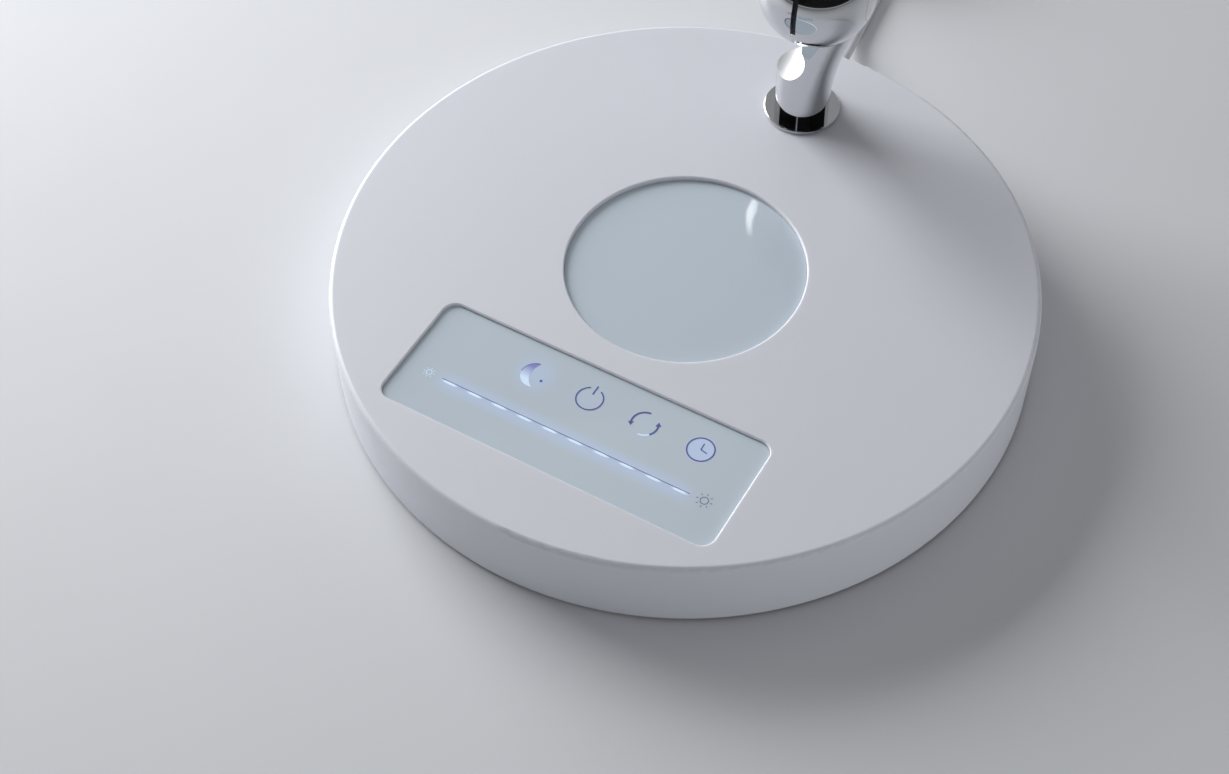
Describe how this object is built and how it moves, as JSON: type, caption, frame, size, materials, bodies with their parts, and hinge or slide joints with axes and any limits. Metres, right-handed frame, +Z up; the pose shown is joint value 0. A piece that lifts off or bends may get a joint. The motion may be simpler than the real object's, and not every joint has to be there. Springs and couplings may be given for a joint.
{
  "type": "led desk lamp",
  "caption": "Desk lamp with a round weighted touch base, a charging pad, a chrome swing arm with ball knuckles and a slim bar of LED light.",
  "frame": {"origin": "centre of the base's underside on the desk", "axes": "+Z up, the touch panel towards -Y, the stem at +Y, +X to the user's right"},
  "size_m": [0.2414, 0.6267, 0.4992],
  "materials": {
    "cover_plastic": "gloss",
    "tinted_glass": "gloss",
    "light_guide": "clear",
    "foot_rubber": "matte",
    "steel": "satin",
    "iron": "rough",
    "chrome": "polished",
    "bronze": "satin",
    "copper": "lacquered",
    "ferrite": "matte",
    "circuit_board": "matte",
    "board_parts": "matte",
    "led": "gloss",
    "friction_washer": "matte",
    "wire": "matte",
    "head_paint": "satin",
    "head_plastic": "satin",
    "diffuser": "frosted",
    "board_metal": "satin",
    "cord_jacket": "satin",
    "cord_tie": "matte",
    "adaptor_plastic": "satin",
    "plated_pins": "plated"
  },
  "bodies": {
    "base": {"base_cover": "cover_plastic", "base_plate": "steel", "foot_pad": "foot_rubber", "ballast": "iron", "base_screws": "steel", "control_glass": "tinted_glass", "slider_guide": "light_guide", "touch_board": "circuit_board", "touch_leds": "led", "pad_glass": "tinted_glass", "charging_coil": "copper", "coil_ferrite": "ferrite", "main_board": "circuit_board", "main_board_parts": "board_parts", "cord_gland": "cord_jacket", "stem_flange": "chrome", "swivel_bush": "bronze", "cord_lead": "cord_jacket", "cord_coil": "cord_jacket", "cord_tail": "cord_jacket", "cord_tie": "cord_tie", "adaptor_body": "adaptor_plastic", "adaptor_pins": "plated_pins"},
    "post": {"post": "chrome", "swivel_washer": "steel", "swivel_nut": "steel", "base_knuckle_bolt": "steel", "base_knuckle_washer": "friction_washer", "base_knuckle_nut": "steel", "base_knuckle_right_cap": "chrome"},
    "lower_arm": {"base_knuckle_left_cap": "chrome", "lower_arm_foot": "chrome", "lower_arm_tube": "chrome", "lower_arm_top": "chrome", "lower_arm_wire": "wire", "elbow_bolt": "steel", "elbow_washer": "friction_washer", "elbow_nut": "steel", "elbow_right_cap": "chrome"},
    "upper_arm": {"elbow_left_cap": "chrome", "upper_arm_foot": "chrome", "upper_arm_tube": "chrome", "upper_arm_end": "chrome", "upper_arm_wire": "wire", "head_knuckle_bolt": "steel", "head_knuckle_washer": "friction_washer", "head_knuckle_nut": "steel", "head_knuckle_right_cap": "chrome"},
    "head_neck": {"head_knuckle_left_cap": "chrome", "head_neck": "chrome", "head_clip": "steel"},
    "head": {"head_rear_cap": "head_plastic", "head_profile": "head_paint", "head_front_cap": "head_plastic", "head_diffuser": "diffuser", "head_board": "board_metal", "head_leds": "led", "head_screws": "steel"}
  },
  "joints": [
    {"name": "base_swivel", "type": "hinge", "parent": "base", "child": "post", "pos_m": [0, 0.073, 0.0244], "axis": [0, 0, 1], "range_deg": [-90, 90]},
    {"name": "lower_arm_tilt", "type": "hinge", "parent": "post", "child": "lower_arm", "pos_m": [0, 0.073, 0.0724], "axis": [0.9877, 0.1564, 0], "range_deg": [-20, 65]},
    {"name": "elbow_tilt", "type": "hinge", "parent": "lower_arm", "child": "upper_arm", "pos_m": [-0.01712, 0.1811, 0.3731], "axis": [-0.9877, -0.1564, 0], "range_deg": [-50, 75]},
    {"name": "head_tilt", "type": "hinge", "parent": "upper_arm", "child": "head_neck", "pos_m": [0.02116, -0.06059, 0.48721], "axis": [0.9877, 0.1564, 0], "range_deg": [-40, 100]},
    {"name": "head_roll", "type": "hinge", "parent": "head_neck", "child": "head", "pos_m": [0.02116, -0.06059, 0.48721], "axis": [0.1564, -0.9877, 0], "range_deg": [-90, 90]}
  ]
}
